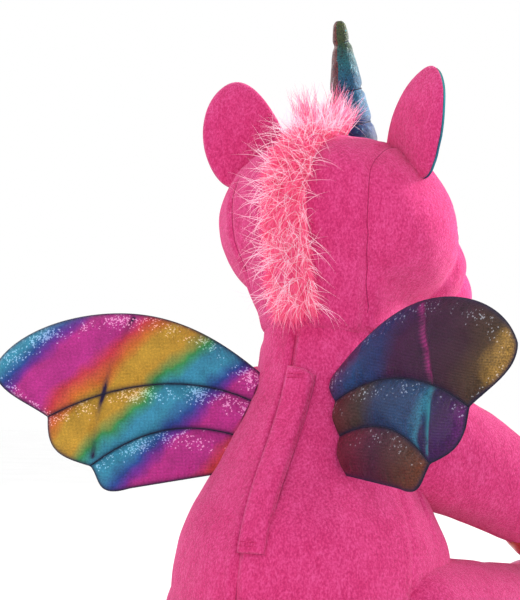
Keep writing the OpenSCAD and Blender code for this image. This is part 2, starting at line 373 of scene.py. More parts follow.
class Paint:
    """A small helper that wires shader nodes."""

    def __init__(self, name):
        self.material = bpy.data.materials.new(name)
        self.material.use_nodes = True
        self.tree = self.material.node_tree
        self.shader = self.tree.nodes["Principled BSDF"]

    def node(self, kind):
        return self.tree.nodes.new("ShaderNode" + kind)

    def plug(self, value, socket):
        """Feeds a socket with a signal, or sets it to a number, a colour or a vector."""
        if isinstance(value, Signal):
            self.tree.links.new(value.socket, socket)
        elif isinstance(value, tuple) and socket.type == "RGBA" and len(value) == 3:
            socket.default_value = (*value, 1)
        else:
            socket.default_value = value

    def coords(self):
        return Signal(self, self.node("TexCoord").outputs["Object"])

    def split(self, vector, kind="SeparateXYZ"):
        """The three numbers of a vector or colour."""
        n = self.node(kind)
        self.plug(vector, n.inputs[0])
        return [Signal(self, socket) for socket in n.outputs]

    def stored(self, label):
        """What write_vectors has stored at the points."""
        n = self.node("Attribute")
        n.attribute_name = label
        return Signal(self, n.outputs["Vector"])

    def noise(self, scale, detail=2.0, rough=0.5, stretch=None, vector=None):
        source = vector or self.coords()
        if stretch:
            m = self.node("Mapping")
            self.plug(stretch, m.inputs["Scale"])
            self.plug(source, m.inputs["Vector"])
            source = Signal(self, m.outputs["Vector"])
        n = self.node("TexNoise")
        self.plug(source, n.inputs["Vector"])
        for label, value in (("Scale", scale), ("Detail", detail), ("Roughness", rough)):
            self.plug(value, n.inputs[label])
        return Signal(self, n.outputs["Fac"])

    def specks(self, scale, vector):
        """A random number for each cell of a crowd of small cells."""
        cells = self.node("TexVoronoi")
        self.plug(scale, cells.inputs["Scale"])
        self.plug(vector, cells.inputs["Vector"])
        return self.split(Signal(self, cells.outputs["Color"]), "SeparateColor")[0]

    def ramp(self, factor, stops):
        r = self.node("ValToRGB")
        while len(r.color_ramp.elements) < len(stops):
            r.color_ramp.elements.new(0.5)
        for e, (at, colour) in zip(r.color_ramp.elements, stops):
            e.position = at
            e.color = (*colour, 1)
        self.plug(factor, r.inputs["Fac"])
        return Signal(self, r.outputs["Color"])

    def mix(self, factor, a, b, kind="MIX"):
        n = self.node("Mix")
        n.data_type = "RGBA"
        n.blend_type = kind
        for k, value in ((0, factor), (6, a), (7, b)):
            self.plug(value, n.inputs[k])
        return Signal(self, n.outputs[2])

    def scaled(self, colour, amount):
        n = self.node("VectorMath")
        n.operation = "SCALE"
        self.plug(colour, n.inputs[0])
        self.plug(amount, n.inputs["Scale"])
        return Signal(self, n.outputs[0])

    def bump(self, height, strength, distance):
        n = self.node("Bump")
        for label, value in (("Strength", strength), ("Distance", distance), ("Height", height)):
            self.plug(value, n.inputs[label])
        return Signal(self, n.outputs["Normal"])

    def set(self, **values):
        for key, value in values.items():
            self.plug(value, self.shader.inputs[key.replace("_", " ")])


def plush(name, dark, mid, light, sheen=0.4):
    """Short brushed pile: combed flecks a millimetre or two long, soft patches, and a pale sheen."""
    p = Paint(name)
    fleck = p.noise(1000, 4, 0.75, stretch=(1, 1, 0.6))
    patch = p.noise(34, 3, 0.6)
    comb = p.noise(170, 2, 0.55, stretch=(1.2, 1, 0.5))
    tone = fleck * 0.72 + patch * 0.12 + comb * 0.16
    p.set(Base_Color=p.ramp(tone, [(0.39, dark), (0.5, mid), (0.61, light)]),
          Normal=p.bump(fleck + comb * 0.9, 0.8, 0.0015),
          Roughness=0.9, Sheen_Weight=sheen, Sheen_Roughness=0.3, Sheen_Tint=(1.0, 0.55, 0.78),
          Specular_IOR_Level=0.1)
    return p.material


def glowing_fur(name, colour):
    p = Paint(name)
    # The emission is painted light: a faint glow in the strand's own colour stands in for light through the
    # hairs and lifts the shade among them.
    p.set(Base_Color=colour, Roughness=0.6, Sheen_Weight=0.3, Sheen_Roughness=0.4, Sheen_Tint=(1.0, 0.7, 0.8),
          Specular_IOR_Level=0.2, Emission_Color=colour, Emission_Strength=0.22)
    return p.material


def sparkle_specks(p, plane, shine):
    """Fine specks of painted highlight, the glints of crinkled foil: 1 where one shows, over the shine
    weight.
    """
    patch = ((p.noise(0.045, 3, 0.65, vector=plane) - 0.42) * 3.2).least(0)
    return p.specks(1.5, plane).math("LESS_THAN", shine * patch * 0.75)


def by_scallop(p, scallop, choices):
    """The first choice on a wing's first scallop, the second on its second, and so on."""
    chosen = choices[0]
    for i, choice in enumerate(choices[1:]):
        chosen = p.mix(scallop.over(i + 0.5), chosen, choice)
    return chosen


def foil(name, ramps, direction, period, offset, fold_light_colours, metal=0.3, repeats=True, grit=1.0):
    """Rainbow foil cloth, with painted light: highlights on glint specks, light and shade along the crease,
    and shade at the rim and seams. Attribute plane is (span, height, shine) and marks is (scallop, crease,
    edge).
    """
    p = Paint(name)
    plane = p.stored("plane")
    u, v, shine = p.split(plane)
    scallop, crease, edge = p.split(p.stored("marks"))
    drift = (p.noise(0.03, 3, 0.55, vector=plane) - 0.5) * 0.22
    along = u * (direction[0] / period) + v * (direction[1] / period) + offset + drift
    band = along.math("FRACT") if repeats else along
    colour = by_scallop(p, scallop, [p.ramp(band, stops) for stops in ramps])
    weave = ((u + v) * 4.2).math("SINE") * ((u - v) * 4.2).math("SINE")
    cloud = p.noise(0.09, 4, 0.6, vector=plane)
    grain = (p.noise(0.95, 3, 0.75, vector=plane) - 0.5) * grit
    lit = p.scaled(colour, weave * 0.30 + cloud * 0.8 + grain + 0.45)
    # glint is a painted highlight: the band colour doubled and mixed towards a pale blue-white.
    glint = p.mix(0.4, p.mix(1.0, colour, (2.0, 2.0, 2.0), "MULTIPLY"), (0.65, 0.75, 0.85))
    # Painted light and shade along the crease: the fold colours where crease is high, broken into patches by
    # the cloud when a wing has several.
    patchy_fold_light = crease * ((cloud - 0.36) * 6).least(0).most(1) if len(fold_light_colours) > 1 else crease
    seen = p.mix((patchy_fold_light * 0.85).most(1), lit, by_scallop(p, scallop, fold_light_colours))
    # painted highlights: the glint colour where a speck shows.
    seen = p.mix(sparkle_specks(p, plane, shine), seen, glint)
    crinkle = p.noise(0.5, 4, 0.65, vector=plane)
    # The edge mark is painted shade: navy at the rim and along the seams.
    p.set(Base_Color=p.mix(edge, seen, (0.012, 0.012, 0.045)), Roughness=cloud * 0.25 + 0.28,
          Normal=p.bump(weave * 0.5 + crinkle * (shine + 0.7), 0.5, 0.0009),
          Metallic=metal, Coat_Weight=0.05, Coat_Roughness=0.3, Specular_IOR_Level=0.2)
    return p.material


def speckled(name, scale, detail, stops, bump, **values):
    """A plain finish: one fine grain sets its colours and, where bump is given, its relief."""
    p = Paint(name)
    grain = p.noise(scale, detail, 0.5)
    if bump:
        p.set(Normal=p.bump(grain, *bump))
    p.set(Base_Color=p.ramp(grain, stops), **values)
    return p.material


def thread_paint(name, dark, light):
    return speckled(name, 1600, 2, [(0.35, dark), (0.65, light)], (0.5, 0.0004),
                    Roughness=0.7, Sheen_Weight=0.05, Specular_IOR_Level=0.2)


def tape_paint():
    return speckled("hook_tape", 2200, 1, [(0.4, (0.004, 0.004, 0.005)), (0.7, (0.05, 0.05, 0.055))],
                    (0.9, 0.0006), Roughness=0.8)


def washer_paint():
    return speckled("washer_plastic", 700, 2, [(0.3, (0.72, 0.72, 0.70)), (0.7, (0.85, 0.85, 0.83))],
                    (0.1, 0.0002), Roughness=0.45)


def black_gloss():
    return speckled("eye_black", 500, 2, [(0.3, (0.002, 0.002, 0.004)), (0.7, (0.008, 0.008, 0.012))],
                    None, Roughness=0.08, Coat_Weight=1.0, Coat_Roughness=0.02)


def floor_paint():
    return speckled("floor_paint", 12, 2, [(0.3, (0.97, 0.97, 0.97)), (0.7, (1.0, 1.0, 1.0))],
                    None, Roughness=0.8)


def eye_paint():
    """Glitter of the iris, under a clear dome."""
    p = Paint("eye_glitter")
    colours = [(0.0, (0.0, 0.10, 0.20)), (0.5, (0.0, 0.38, 0.52)), (0.85, (0.05, 0.62, 0.70)),
               (1.0, (0.7, 0.95, 1.0))]
    p.set(Base_Color=p.ramp(p.specks(2600, p.coords()), colours),
          Roughness=0.25, Metallic=0.6, Coat_Weight=1.0, Coat_Roughness=0.03)
    return p.material


def shimmer(name, stops, scale, axis, offset=0.0, rough=0.28, metal=0.75):
    """Iridescent cloth on small pieces: colour along an axis of the world, with cloudy drift."""
    p = Paint(name)
    dot = p.node("VectorMath")
    dot.operation = "DOT_PRODUCT"
    p.plug(p.coords(), dot.inputs[0])
    p.plug(axis, dot.inputs[1])
    along = Signal(p, dot.outputs["Value"]) * scale + p.noise(45, 3, 0.6) * 0.9
    colour = p.ramp((along + offset).math("FRACT"), stops)
    grain = p.noise(1500, 2, 0.6)
    p.set(Base_Color=p.mix(grain * 0.25, colour, (0.01, 0.01, 0.03)), Normal=p.bump(grain, 0.4, 0.0005),
          Roughness=rough, Metallic=metal, Coat_Weight=0.3, Coat_Roughness=0.2)
    return p.material


def horn_paint():
    """Foil that runs from a dark base through blue and teal to an olive tip, with a red-brown side."""
    p = Paint("horn_foil")
    side, _, height = p.split(p.stored("plane"))
    drift = (p.noise(90, 3, 0.6) - 0.5) * 0.3
    colours = [(0.0, (0.008, 0.012, 0.09)), (0.14, (0.008, 0.05, 0.20)), (0.30, (0.01, 0.13, 0.27)),
               (0.5, (0.008, 0.09, 0.18)), (0.66, (0.01, 0.12, 0.15)), (0.80, (0.03, 0.07, 0.03)),
               (1.0, (0.08, 0.09, 0.02))]
    tone = p.ramp(height * (1 / HORN_L) + drift, colours)
    warm = (side * 1.6 + drift * 1.2).over(0.86) * 0.85
    grain = p.noise(1100, 3, 0.7)
    wrinkle = p.noise(260, 4, 0.7)
    seen = p.mix(warm, tone, (0.16, 0.02, 0.02))
    seen = p.mix(grain.over(0.53) * 0.75, seen, (0.005, 0.006, 0.02))
    glint = (wrinkle + grain * 0.5).over(0.90) * 0.6
    p.set(Base_Color=p.mix(glint, seen, (0.10, 0.42, 0.52)),
          Normal=p.bump(grain + wrinkle * 2.0, 0.6, 0.0010),
          Roughness=0.38, Metallic=0.15, Coat_Weight=0.05, Specular_IOR_Level=0.3)
    return p.material


PINK = plush("pink_plush", (0.60, 0.028, 0.15), (0.76, 0.05, 0.225), (0.88, 0.105, 0.34))
MUZZLE_PINK = plush("muzzle_plush", (0.72, 0.025, 0.17), (0.86, 0.05, 0.25), (0.95, 0.11, 0.36))
FUR_BASE = plush("fur_base", (0.80, 0.05, 0.20), (0.93, 0.11, 0.29), (1.0, 0.22, 0.42), sheen=0.2)
FUR = [glowing_fur("fur_deep", (0.86, 0.075, 0.22)), glowing_fur("fur_mid", (0.96, 0.15, 0.34)),
       glowing_fur("fur_light", (1.0, 0.27, 0.48)), glowing_fur("fur_pale", (1.0, 0.72, 0.84))]
CYAN, BLUE, VIOLET, MAGENTA = (0.05, 0.31, 0.48), (0.03, 0.07, 0.34), (0.18, 0.03, 0.34), (0.56, 0.035, 0.29)
RED, ORANGE, GOLD, GREEN = (0.66, 0.05, 0.08), (0.68, 0.17, 0.035), (0.60, 0.34, 0.04), (0.05, 0.32, 0.10)
# foil colours along a wing or a hoof, from 0 to 1; NIGHT, DUSK and EMBER paint the right wing's foil in
# shade, the same cloth as BRIGHT turned away from the light, with dim colours for each of its three scallops
BRIGHT = [(0.0, CYAN), (0.09, BLUE), (0.14, VIOLET), (0.19, MAGENTA), (0.36, MAGENTA), (0.43, RED),
          (0.51, ORANGE), (0.58, GOLD), (0.73, GOLD), (0.82, GREEN), (0.90, CYAN), (1.0, CYAN)]
NIGHT = [(0.0, (0.22, 0.03, 0.05)), (0.08, (0.12, 0.02, 0.10)), (0.18, (0.012, 0.06, 0.19)),
         (0.30, (0.015, 0.035, 0.14)), (0.42, (0.05, 0.008, 0.055)), (0.74, (0.04, 0.010, 0.025)),
         (0.88, (0.07, 0.035, 0.014)), (0.94, (0.36, 0.20, 0.04)), (1.0, (0.40, 0.22, 0.05))]
DUSK = [(0.0, (0.18, 0.03, 0.05)), (0.16, (0.13, 0.025, 0.03)), (0.28, (0.05, 0.035, 0.03)),
        (0.40, (0.012, 0.045, 0.13)), (0.58, (0.015, 0.07, 0.18)), (0.65, (0.03, 0.20, 0.32)),
        (0.69, (0.015, 0.015, 0.09)), (0.79, (0.05, 0.008, 0.09)), (0.86, (0.20, 0.02, 0.20)),
        (0.92, (0.02, 0.20, 0.30)), (1.0, (0.02, 0.08, 0.18))]
EMBER = [(0.0, (0.30, 0.03, 0.12)), (0.22, (0.20, 0.015, 0.04)), (0.45, (0.07, 0.012, 0.04)),
         (0.62, (0.09, 0.03, 0.02)), (0.80, (0.20, 0.05, 0.02)), (1.0, (0.10, 0.10, 0.02))]
HOOF = [(0.0, CYAN), (0.2, BLUE), (0.4, MAGENTA), (0.6, RED), (0.8, GOLD), (1.0, CYAN)]
EAR = [(0.0, (0.01, 0.14, 0.26)), (0.5, (0.02, 0.36, 0.42)), (0.8, (0.10, 0.30, 0.10)),
       (1.0, (0.01, 0.14, 0.26))]
EAR_FOIL = shimmer("ear_foil", EAR, 12.0, axis=(1, 0, 1), offset=0.1)
HOOF_FOIL = shimmer("hoof_foil", HOOF, 9.0, axis=(0.6, 0.7, 0.5), rough=0.4, metal=0.4)
DARK_THREAD = thread_paint("dark_thread", (0.004, 0.004, 0.014), (0.02, 0.02, 0.055))
PINK_THREAD = thread_paint("pink_thread", (0.50, 0.01, 0.11), (0.80, 0.05, 0.24))
SEAM_PINK = thread_paint("seam_pink", (0.30, 0.004, 0.06), (0.50, 0.015, 0.12))
# The last list of each foil is its fold colours: on the left, painted shade, dark navy in the crease; on the
# right, painted highlights of magenta and teal on the first two scallops and painted shade on the third.
LEFT_FOIL = foil("wing_foil_left", [BRIGHT], (-0.7, -0.7), 84, 1.16, [(0.02, 0.01, 0.05)], grit=1.2)
# painted shade: the right wing wears the same foil as the left, in the dim colours of NIGHT, DUSK and EMBER.
SHADED_RIGHT_FOIL = foil("wing_foil_right", [NIGHT, DUSK, EMBER], (0.9, -0.3), 138, 0.06,
                  [(0.55, 0.04, 0.28), (0.04, 0.30, 0.38), (0.05, 0.02, 0.05)], metal=0.15, repeats=False,
                  grit=3.0)


# ---------- camera, light and floor ----------
AZIMUTH = math.radians(211)
ELEVATION = math.radians(-2)
DISTANCE = 1.13                 # metres from the camera to its target
TARGET = vec(17.6, 10.6, 210) * MM
PICTURE_HEIGHT = 0.324          # metres that the picture spans at the target
SENSOR_HEIGHT = 24
FLOOR_HALF = 4000
LIGHTS = (                      # name, metres right of and toward the camera and up, size, watts
    ("key", 0.9, 0.9, 1.2, 0.9, 2.5), ("fill", -1.1, 0.7, 0.7, 1.0, 1),
    ("rim_left", -0.9, -0.9, 0.9, 0.7, 7), ("rim_right", 1.1, -0.8, 0.4, 0.7, 8))


def add_light(name, kind, place, aim, watts):
    light = bpy.data.objects.new(name, bpy.data.lights.new(name, kind))
    bpy.context.scene.collection.objects.link(light)
    light.location = Vector(place)
    light.rotation_euler = (light.location - Vector(aim)).to_track_quat("Z", "Y").to_euler()
    light.data.energy = watts
    return light.data


def add_camera(away):
    camera = bpy.data.objects.new("camera", bpy.data.cameras.new("camera"))
    bpy.context.scene.collection.objects.link(camera)
    camera.location = Vector(TARGET) + away * DISTANCE
    camera.rotation_euler = (-away).to_track_quat("-Z", "Y").to_euler()
    camera.data.sensor_fit = "VERTICAL"
    camera.data.sensor_height = SENSOR_HEIGHT
    camera.data.lens = SENSOR_HEIGHT * DISTANCE / PICTURE_HEIGHT
    bpy.context.scene.camera = camera


def stage():
    """Camera, white world, four soft lights, one spot for the head, and the floor."""
    scene = bpy.context.scene
    level = math.cos(ELEVATION)
    away = Vector((math.sin(AZIMUTH) * level, -math.cos(AZIMUTH) * level, math.sin(ELEVATION)))
    add_camera(away)
    scene.world = bpy.data.worlds.new("studio")
    scene.world.use_nodes = True
    scene.world.node_tree.nodes["Background"].inputs[0].default_value = (1, 1, 1, 1)
    scene.view_settings.view_transform = "Standard"
    right = vec(math.cos(AZIMUTH), math.sin(AZIMUTH), 0)
    toward = unit([away.x, away.y, 0])
    for name, side, near, height, size, watts in LIGHTS:
        light = add_light(name, "AREA", side * right + near * toward + vec(0, 0, height), TARGET, watts)
        light.size = size
    above = 0.95 * right - 0.45 * toward + vec(0, 0, 0.75)
    spot = add_light("head_light", "SPOT", above, vec(-20, -50, 275) * MM, 110)
    spot.spot_size = math.radians(15)
    spot.spot_blend = 0.9
    spot.shadow_soft_size = 0.15
    corners = [(x * FLOOR_HALF, y * FLOOR_HALF, -0.3) for x, y in ((-1, -1), (1, -1), (1, 1), (-1, 1))]
    floor = make("floor", corners, [(0, 1, 2, 3)], smooth=False)
    floor.data.materials.append(floor_paint())


# ---------- torso ----------
BACK_SEAMS = (12, 90, 168)      # left, middle and right seam of the back, in degrees round the axis from +X


def shoulder(count):
    """(radius, height) of the torso from its widest point up to the neck."""
    return bezier([(BELLY_R, 50), (75, 110), (38, 126), (NECK_R, TORSO_TOP)], count)


def torso_outline():
    """(radius, height) of the torso along its leaning axis, rounded in under the head."""
    seat = [(30, -17), (44, -16.5), (50, -16), (55, -8), (60, 0)]
    low = bezier([(60, 0), (68, 12), (BELLY_R, 30), (BELLY_R, 50)], 28)
    cap = [(34.4, 193.4), (32.6, 195.8), (28.5, 198), (20, 199.6), (8, 200.2)]
    high = shoulder(110)
    return joined(seat, low, high, [high[-1], *cap])


def torso_radius(height):
    """Radius and outward slope of the torso's outline at a height along its axis."""
    curve = shoulder(200)
    low, r, high = np.interp([height - 1, height, height + 1], curve[:, 1], curve[:, 0])
    return r, (low - high) / 2


def puff_out(points, amount):
    """Moves points away from the torso's axis by an amount in millimetres."""
    points[:, :2] *= (1 + amount / np.maximum(np.hypot(points[:, 0], points[:, 1]), 10))[:, None]


def torso_mesh(steps=360):
    """The torso as one mesh, with soft lumps and pressed seams, and its points before it leans."""
    obj = make("torso", *revolve(spread_evenly(torso_outline(), 170), steps))
    lumps(obj, 1.6, 42, seed=3)
    lumps(obj, 0.5, 14, seed=9)
    co = points_of(obj)
    angle = np.degrees(np.arctan2(co[:, 1], co[:, 0]))
    radius = np.hypot(co[:, 0], co[:, 1])
    left, middle, right = BACK_SEAMS
    for at, depth in ((middle, 1.5), (left, 0.5), (right, 0.5)):
        off = np.abs((angle - at + 180) % 360 - 180)
        groove(obj, np.radians(off) * np.maximum(radius, 20), depth, 2.0)
    co = points_of(obj)
    side = np.abs(np.degrees(np.arctan2(co[:, 0], -co[:, 1])))
    gather = bell(side - 62, 30) * bell(co[:, 2] - 78, 20)
    slack = bell(co[:, 2] - 108, 18) * (co[:, 1] > -10)
    puff_out(co, 4.5 * gather - 1.8 * slack)
    puff_out(co, -0.9 * bell(co[:, 2] - 189, 3.5))
    world = co @ LEAN.T
    world[:, 2] = np.maximum(world[:, 2], 0.0)
    set_points(obj, world)
    return obj, world, co


def torso():
    obj, world, local = torso_mesh()
    faces = [tuple(p.vertices) for p in obj.data.polygons]
    flat = np.array([world[list(f)].mean(axis=0)[2] for f in faces]) < 0.9
    centres = np.array([local[list(f)].mean(axis=0) for f in faces])
    around = np.degrees(np.arctan2(centres[:, 1], centres[:, 0]))
    left, middle, right = BACK_SEAMS
    behind = (around >= left) & (around < right)
    regions = {
        "back_left": (~flat & behind & (around < middle), ["back_panel_left"]),
        "back_right": (~flat & behind & (around >= middle), ["back_panel_right", "body_stuffing"]),
        "belly": (~flat & ~behind, ["belly_panel"]),
        "seat": (flat, ["seat_base"])}
    for name, (chosen, nodes) in regions.items():
        part = submesh("torso_" + name, world, [f for f, c in zip(faces, chosen) if c])
        finish_piece(part, part.name, BODY_TO_NECK, PINK, nodes)
    bpy.data.objects.remove(obj)


def submesh(name, points, faces):
    """A mesh of some faces, with only the points that they use."""
    used = sorted({i for f in faces for i in f})
    index = {old: new for new, old in enumerate(used)}
    return make(name, points[used], [tuple(index[i] for i in f) for f in faces])


# ---------- back closure ----------
def on_back(x, height, lift):
    """A point lifted off the torso's back, x across and height along its axis."""
    r, slope = torso_radius(height)
    n = unit([1, slope])
    ring = r + lift * n[0]
    return LEAN @ vec(x, math.sqrt(max(ring * ring - x * x, 1)), height + lift * n[1])


def strip_slab(name, x0, x1, h0, h1, low, high, corner=0.0):
    """A soft strip lying on the back, rounded at its edges, with its top corner at x1 cut round."""
    cols, rows = 12, 90
    upper, lower = [], []
    for i in range(rows + 1):
        for j in range(cols + 1):
            s = j / cols
            x = x0 + (x1 - x0) * s
            top = h1 - corner * (1 - math.sqrt(max(0.0, 1 - s * s)))
            h = h0 + (top - h0) * (i / rows)
            edge = min(min(s, 1 - s) * abs(x1 - x0), h - h0, top - h)
            soft = 1 - math.exp(-edge / 0.7)
            lift = low + (high - low) * (0.25 + 0.75 * soft) + 0.18 * noise.noise(Vector((x / 5, h / 7, 4)))
            upper.append(on_back(x, h, lift))
            lower.append(on_back(x, h, low))
    n = len(upper)
    faces = grid_faces(rows + 1, cols + 1, wrap=False)
    faces = [f[::-1] for f in faces] + [tuple(i + n for i in f) for f in faces]
    index = np.arange(n).reshape(rows + 1, cols + 1)
    rim = [*index[0], *index[1:, -1], *index[-1, -2::-1], *index[-2:0:-1, 0]]
    for a, b in zip(rim, rim[1:] + rim[:1]):
        faces.append((a, b, b + n, a + n))
    return sealed(make(name, upper + lower, faces))


def stitch_row(name, a, b, count, radius=0.32, lift=0.5):
    """Short thread stitches along a line between two points that on_back takes."""
    parts = []
    for i in range(count):
        path = []
        for k in range(7):
            t = (i + 0.12 + 0.76 * k / 6) / count
            x, h = a[0] + (b[0] - a[0]) * t, a[1] + (b[1] - a[1]) * t
            path.append(on_back(x, h, a[2] + lift * math.sin(math.pi * k / 6)))
        parts.append(tube(path, radius, 6))
    return make(name, *merged(parts))


def closure():
    hem = strip_slab("flap_hem_roll", -15.0, -12.6, STRIP_H[0], STRIP_H[1] - 4, -0.4, 2.0)
    finish_piece(hem, "flap_hem_roll", "body", PINK, ["flap_hem"])
    flap = strip_slab("closure_cover", 0.4, -14.9, *STRIP_H, 1.6, 3.6, corner=7.0)
    hinge = [on_back(x, 118, 2.5) * MM for x in (-14.0, -9.5)]
    finish_piece(flap, "closure_cover", ("body", "closure", *hinge), PINK, ["closure_flap"])
    for tag, h in (("low", STRIP_H[0] + 5.5), ("high", STRIP_H[1] - 5.0)):
        for k in range(2):
            start, end = ((x, h - 2.2 * k, 3.65) for x in (-1.4, -10.8))
            row = stitch_row("closure_stitches_%s_%d" % (tag, k), start, end, 5)
            finish_piece(row, row.name, "closure", PINK_THREAD)


# ---------- limbs ----------
def limb_skin_outline(r, length):
    """(radius, height) from behind the joint to the hoof's seam, tucked in there."""
    end = length - HOOF_L
    ball = [(r[0] * math.cos(math.radians(a)), r[0] * math.sin(math.radians(a))) for a in range(-86, 0, 3)]
    side = bezier([(r[0], 0), (r[0] + 0.6, end * 0.4), (r[1] + 1.0, end * 0.7), (r[1] - 0.2, end - 1.5)], 40)
    tuck = [side[-1], (r[1] - 1.6, end + 0.3), (r[1] - 5, end + 0.8), (4, end + 1)]
    return joined(ball, [ball[-1], side[0]], side, tuck)


def hoof_outline(r, length):
    """(radius, height) of the padded hoof, from inside its seam over the toe."""
    start = length - HOOF_L
    wide = r[1] + 3.2
    turn_in = (wide, length - 8)
    side = bezier([(r[1] - 1.2, start - 0.6), (wide, start + 1.5), (r[1] + 3.4, start + 12), turn_in], 20)
    toe = bezier([turn_in, (r[1] + 2.8, length - 2.5), (r[1] - 1, length), (r[1] - 5, length)], 12)
    return joined([(5, start), (r[1] - 4, start - 0.8), side[0]], side, toe, [toe[-1], (6, length + 0.2)])


def hang_from(obj, at, direction):
    """Widens the underside of an arm towards the belly, as its gusset does."""
    co = points_of(obj)
    along = (co - at) @ direction
    down = unit(vec(0, 0, -1) + direction * direction[2])
    low = np.clip((co - at - np.outer(along, direction)) @ down / 28, 0, 1)
    co += np.outer(low * (4.0 + 5.0 * bell(np.maximum(along - 22, 0), 26)), down)
    set_points(obj, co)


def limb(name, side, at, direction, r, length, bend):
    """Skin and hoof of one arm or leg; side is 1 on the left and -1 on the right."""
    flip = vec(side, 1, 1)
    place = stand(direction)
    pieces = []
    for piece, outline, soft in (("skin", limb_skin_outline, 1.1), ("hoof", hoof_outline, 0.7)):
        verts, faces = revolve(spread_evenly(outline(r, length), 64), 96)
        if piece == "hoof":
            verts[:, :2] += 0.35 * np.sin(verts[:, 2:3] / 2.1)
        obj = make(name + "_" + piece, (verts @ place.T + at) * flip, faced(faces, side))
        if name.startswith("arm"):
            hang_from(obj, at * flip, direction * flip)
        lumps(obj, soft, 26, seed=at[2] + side)
        lumps(obj, 0.35, 9, seed=side)
        pieces.append(obj)
    skin, hoof = pieces
    co = points_of(skin)
    off_middle = np.abs((co * flip - at) @ unit(np.cross(direction, [0, 0, 1])))
    groove(skin, np.where(co[:, 2] < at[2], off_middle, FAR), 1.0, 1.6)
    start, end = ((at + direction * reach) * flip * MM for reach in bend)
    finish_piece(skin, name + "_plush", ("body", name, start, end), PINK,
                 [name + "_skin", name + "_stuffing"])
    finish_piece(hoof, name + "_hoof_cover", name, HOOF_FOIL, [name + "_hoof"])
    seam = hoof_seam(name, side, at, direction, r, length)
    finish_piece(seam, name + "_hoof_seam", name, PINK_THREAD)


def hoof_seam(name, side, at, direction, r, length):
    """The sewn ridge where a hoof meets the plush."""
    place, flip = stand(direction), vec(side, 1, 1)
    ring = []
    for a in np.linspace(0, 2 * math.pi, 97):
        rr = r[1] - 0.7 + 0.25 * math.sin(24 * a)
        local = vec(rr * math.cos(a), rr * math.sin(a), length - HOOF_L - 0.2)
        ring.append((place @ local + at) * flip)
    return make(name + "_hoof_seam", *tube(ring, 0.8, 7))


def sole(name, side, at, direction, r, length):
    """The flat disc under a hoof."""
    place, flip = stand(direction), vec(side, 1, 1)
    rr = r[1] - 4.2
    outline = bezier([(rr, length - 1.4), (rr, length + 0.5), (rr * 0.7, length + 1.2), (0.5, length + 1.4)],
                     16)
    verts, faces = revolve(joined([(0.5, length - 1.5), (rr, length - 1.4)], outline), 72)
    obj = make(name + "_sole_disc", (verts @ place.T + at) * flip, faced(faces, side))
    finish_piece(obj, obj.name, name, HOOF_FOIL, [name + "_sole"])


def limbs():
    for tag, side in (("left", 1), ("right", -1)):
        arm_at, leg_at = joint_at("arm_left_swing"), joint_at("leg_left_spread")
        limb("arm_" + tag, side, arm_at, ARM_DIR, ARM_R, ARM_L, (8, 58))
        limb("leg_" + tag, side, leg_at, LEG_DIR, LEG_R, LEG_L, (16, 62))
        sole("leg_" + tag, side, leg_at, LEG_DIR, LEG_R, LEG_L)


# ---------- head ----------
def head_parts():
    """Closed solids that make the head: skull, neck stump, muzzle and cheeks."""
    skull, faces = oval(HEAD_SIZE, 96)
    skull = skull @ HEAD_TURN.T + HEAD_AT
    stump = [(6, 190), (28, 190.5), (34, 192.5), (36.6, 196), (39, 205), (46, 219), (49, 231), (43, 243),
             (10, 248)]
    stump_v, stump_f = revolve(spread_evenly(stump, 50), 96)
    muzzle_v, muzzle_f = oval(MUZZLE_SIZE, 72)
    cheek_v, cheek_f = oval((26, 26, 26), 48)
    cheeks = [(cheek_v + vec(side * 34, -78, 230), cheek_f) for side in (1, -1)]
    return [(skull, faces), (stump_v @ LEAN.T, stump_f), (muzzle_v + MUZZLE_AT, muzzle_f), *cheeks]


def gusset_at(z):
    """Half width of the back-of-head panel at a height."""
    return np.interp(z, [196, 207, 227, 244, 266, 288, 300], [32, 34.5, 37.5, 41.5, 42.5, 40, 37])


def skull_depth(points):
    """How far out points are on the skull's oval: 1 on its surface, less inside."""
    return np.linalg.norm(((points - HEAD_AT) @ HEAD_TURN) / HEAD_SIZE, axis=1)


def muzzle_depth(points, wider):
    """The same for the muzzle's oval, made wider by a few millimetres."""
    return np.linalg.norm((points - MUZZLE_AT) / (MUZZLE_SIZE + wider), axis=1)


def head_seams(obj):
    """Presses in the seams of the back panel, over the top, and round the muzzle."""
    co = points_of(obj)
    side = np.abs(np.abs(co[:, 0]) - gusset_at(co[:, 2]))
    groove(obj, np.where(co[:, 1] > SEAM_Y, side, FAR), 1.3, 1.8)
    co = points_of(obj)
    top = np.abs(co[:, 1] - SEAM_Y)
    groove(obj, np.where(co[:, 2] > 262, top, FAR), 1.0, 1.8)
    co = points_of(obj)
    crease = np.abs(muzzle_depth(co, 0.5) - 1) * MUZZLE_SIZE[2]
    near = np.abs(skull_depth(co) - 1) * HEAD_SIZE[2]
    groove(obj, np.hypot(crease, near), 1.6, 3.0)


